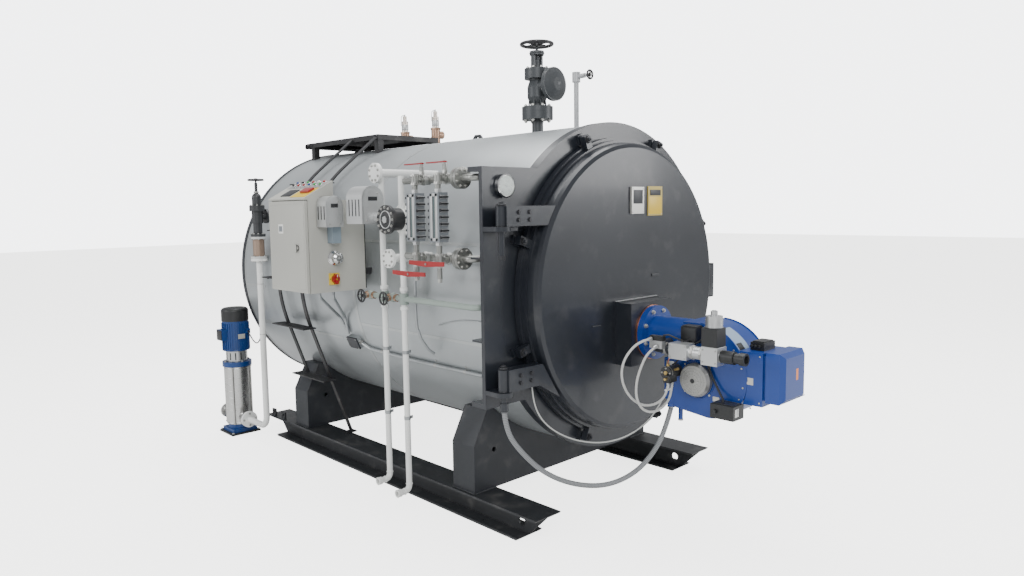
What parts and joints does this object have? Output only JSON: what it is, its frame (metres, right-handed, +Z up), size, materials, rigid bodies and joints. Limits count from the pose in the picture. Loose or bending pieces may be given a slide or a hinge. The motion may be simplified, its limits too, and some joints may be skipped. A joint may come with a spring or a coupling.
{
  "type": "industrial steam boiler",
  "caption": "Horizontal fire-tube steam boiler on skids with a hinged front door carrying a burner, a control cabinet, level gauges, a feed pump, a ladder and a platform.",
  "frame": {"origin": "on the ground, midway between the four anchor holes of the skids", "axes": "+Z up, the burner door faces -Y, the instrument side faces -X"},
  "size_m": [2.4829, 4.5997, 2.974],
  "materials": {
    "cladding": "pale embossed aluminium cladding sheet",
    "dark_enamel": "semi-gloss anthracite enamel",
    "raw_steel": "heat-darkened bare steel",
    "refractory": "cast refractory",
    "black_paint": "satin black paint",
    "cast_grey": "grey painted castings",
    "bronze": "bare bronze with pale caps",
    "cabinet_beige": "light beige-grey powder coat",
    "switch_plastic": "yellow plate with red knob and chromed sounder",
    "pipe_white": "pale primer on pipes and flanges",
    "gauge_grey": "grey gauge bodies",
    "lever_red": "red dipped lever",
    "wheel_black": "black handwheel",
    "cast_aluminium": "cast aluminium housings",
    "pipe_green": "grey-green painted pipe",
    "steel_bright": "brushed stainless steel",
    "motor_blue": "blue machine enamel",
    "dial": "white dial in a chromed case",
    "burner_blue": "bright blue burner enamel",
    "black_plastic": "black plastic housings",
    "gas_silver": "natural aluminium valve blocks",
    "galvanised": "galvanised conduit",
    "conduit_grey": "grey plastic-sheathed conduit",
    "wire_pale": "pale grey sheathed wire",
    "hose_braid": "pale braided hose",
    "cable_black": "black rubber cable",
    "label_silver": "blank plates and a dark latch box"
  },
  "bodies": {
    "plant": {"cabinet_box": "cabinet_beige", "cabinet_brackets": "black_paint", "cabinet_fittings": "switch_plastic", "drain_manifold": "pipe_green", "drain_pipes": "pipe_white", "feed_pipe": "pipe_white", "feed_valve": "cast_grey", "front_ring": "dark_enamel", "furnace": "raw_steel", "hinge_plate": "dark_enamel", "ladder": "black_paint", "level_gauges": "gauge_grey", "lifting_lugs": "dark_enamel", "lower_level_header": "steel_bright", "platform": "black_paint", "pressure_gauge": "dial", "pump_cable": "cable_black", "pump_foot": "motor_blue", "pump_motor": "motor_blue", "pump_sleeve": "steel_bright", "rear_cover": "dark_enamel", "saddles": "dark_enamel", "safety_valves": "bronze", "shell": "cladding", "shell_conduits": "galvanised", "skids": "dark_enamel", "steam_valve": "cast_grey", "switch_housings": "cast_aluminium", "upper_level_header": "steel_bright", "vent_pipe": "cast_grey"},
    "door": {"front_door": "dark_enamel", "door_lining": "refractory", "hinge_arms": "dark_enamel", "door_clamps": "dark_enamel", "door_boxes": "label_silver", "burner_adapter": "dark_enamel", "burner_head": "burner_blue", "burner_fan_housing": "burner_blue", "burner_air_box": "burner_blue", "gas_train": "gas_silver", "burner_controls": "black_plastic", "burner_conduit": "conduit_grey", "signal_wire": "wire_pale", "oil_hose_1": "hose_braid", "oil_hose_2": "hose_braid"},
    "cabinet_door": {"cabinet_door": "cabinet_beige"},
    "main_switch_knob": {"main_switch_knob": "lever_red"},
    "steam_handwheel": {"steam_handwheel": "wheel_black"},
    "vent_handwheel": {"vent_handwheel": "wheel_black"},
    "feed_handwheel": {"feed_handwheel": "wheel_black"},
    "drain_handwheel_1": {"drain_handwheel_1": "wheel_black"},
    "drain_handwheel_2": {"drain_handwheel_2": "wheel_black"},
    "upper_lever_1": {"upper_lever_1": "lever_red"},
    "upper_lever_2": {"upper_lever_2": "lever_red"},
    "lower_lever_1": {"lower_lever_1": "lever_red"},
    "lower_lever_2": {"lower_lever_2": "lever_red"}
  },
  "joints": [
    {"name": "door_hinge", "type": "hinge", "parent": "plant", "child": "door", "pos_m": [-1.07, -1.538, 1.4], "axis": [0, 0, -1], "range_deg": [0, 100]},
    {"name": "cabinet_door_hinge", "type": "hinge", "parent": "plant", "child": "cabinet_door", "pos_m": [-1.455, 0.212, 1.65], "axis": [0, 0, -1], "range_deg": [0, 110]},
    {"name": "main_switch_turn", "type": "hinge", "parent": "plant", "child": "main_switch_knob", "pos_m": [-1.286, -0.255, 1.446], "axis": [0, 1, 0], "range_deg": [0, 90]},
    {"name": "steam_handwheel_spin", "type": "hinge", "parent": "plant", "child": "steam_handwheel", "pos_m": [0, -0.783, 2.948], "axis": [0, 0, 1], "continuous": true},
    {"name": "vent_handwheel_spin", "type": "hinge", "parent": "plant", "child": "vent_handwheel", "pos_m": [0, -1.239, 2.69], "axis": [0, 1, 0], "continuous": true},
    {"name": "feed_handwheel_spin", "type": "hinge", "parent": "plant", "child": "feed_handwheel", "pos_m": [-1.046, 1.25, 2.112], "axis": [0, 0, 1], "continuous": true},
    {"name": "drain_handwheel_1_spin", "type": "hinge", "parent": "plant", "child": "drain_handwheel_1", "pos_m": [-1.172, -0.38, 1.34], "axis": [1, 0, 0], "continuous": true},
    {"name": "drain_handwheel_2_spin", "type": "hinge", "parent": "plant", "child": "drain_handwheel_2", "pos_m": [-1.172, -0.615, 1.34], "axis": [1, 0, 0], "continuous": true},
    {"name": "upper_lever_1_turn", "type": "hinge", "parent": "plant", "child": "upper_lever_1", "pos_m": [-1.13, -1.167, 2.1195], "axis": [0, 0, 1], "range_deg": [0, 90]},
    {"name": "upper_lever_2_turn", "type": "hinge", "parent": "plant", "child": "upper_lever_2", "pos_m": [-1.13, -0.965, 2.1195], "axis": [0, 0, 1], "range_deg": [0, 90]},
    {"name": "lower_lever_1_turn", "type": "hinge", "parent": "plant", "child": "lower_lever_1", "pos_m": [-1.2715, -1.167, 1.576], "axis": [1, 0, 0], "range_deg": [0, 90]},
    {"name": "lower_lever_2_turn", "type": "hinge", "parent": "plant", "child": "lower_lever_2", "pos_m": [-1.2395, -0.965, 1.51], "axis": [1, 0, 0], "range_deg": [0, 90]}
  ]
}
